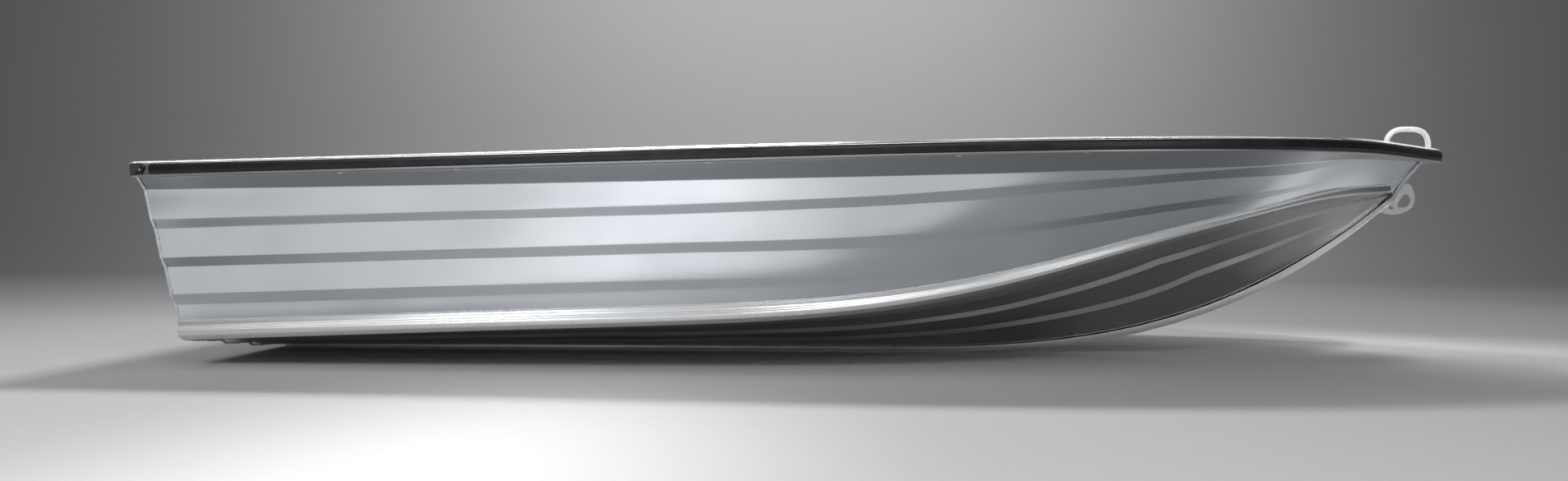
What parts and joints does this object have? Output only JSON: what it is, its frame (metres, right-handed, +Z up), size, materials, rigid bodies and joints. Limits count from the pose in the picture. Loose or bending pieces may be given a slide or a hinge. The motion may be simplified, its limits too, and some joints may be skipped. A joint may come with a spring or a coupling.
{
  "type": "aluminium dinghy",
  "caption": "Open aluminium dinghy with pressed-rib sides, V bottom, extruded gunwale, chine and keel, bench seats, motor pad, bow eye and bow handle.",
  "frame": {"origin": "middle of the boat's length, on the middle plane, at the underside of the keel", "axes": "+X towards the bow, +Y to port, +Z up; the middle plane is XZ"},
  "size_m": [3.7034, 1.5324, 0.7145],
  "materials": {
    "mill_aluminium": "bare sheet, lightly worn",
    "extruded_aluminium": "bare extrusion, satin",
    "black_insert": "matt black profile",
    "grey_cap": "matt dark grey",
    "motor_board": "grey board",
    "bung_plastic": "black"
  },
  "bodies": {
    "root": {"bench_bow": "mill_aluminium", "bench_middle": "mill_aluminium", "bench_stern": "mill_aluminium", "bottom_sheet_port": "mill_aluminium", "bottom_sheet_starboard": "mill_aluminium", "bow_deck_plate": "mill_aluminium", "bow_eye_plate": "mill_aluminium", "bow_handle": "extruded_aluminium", "chine_extrusion_port": "extruded_aluminium", "chine_extrusion_starboard": "extruded_aluminium", "drain_bung": "bung_plastic", "floor_rib_1": "mill_aluminium", "floor_rib_2": "mill_aluminium", "floor_rib_3": "mill_aluminium", "floor_rib_4": "mill_aluminium", "floor_rib_5": "mill_aluminium", "gunwale_end_cap_port": "grey_cap", "gunwale_end_cap_starboard": "grey_cap", "gunwale_extrusion_port": "extruded_aluminium", "gunwale_extrusion_starboard": "extruded_aluminium", "gunwale_insert_port": "black_insert", "gunwale_insert_starboard": "black_insert", "keel_extrusion": "extruded_aluminium", "motor_board_inner": "motor_board", "motor_pad_outer": "mill_aluminium", "rowlock_block_port": "grey_cap", "rowlock_block_starboard": "grey_cap", "side_sheet_port": "mill_aluminium", "side_sheet_starboard": "mill_aluminium", "stem_extrusion": "extruded_aluminium", "stern_corner_gusset_port": "mill_aluminium", "stern_corner_gusset_starboard": "mill_aluminium", "stern_handle_port": "extruded_aluminium", "stern_handle_starboard": "extruded_aluminium", "transom_cap": "extruded_aluminium", "transom_knee": "mill_aluminium", "transom_sheet": "mill_aluminium"}
  },
  "joints": []
}
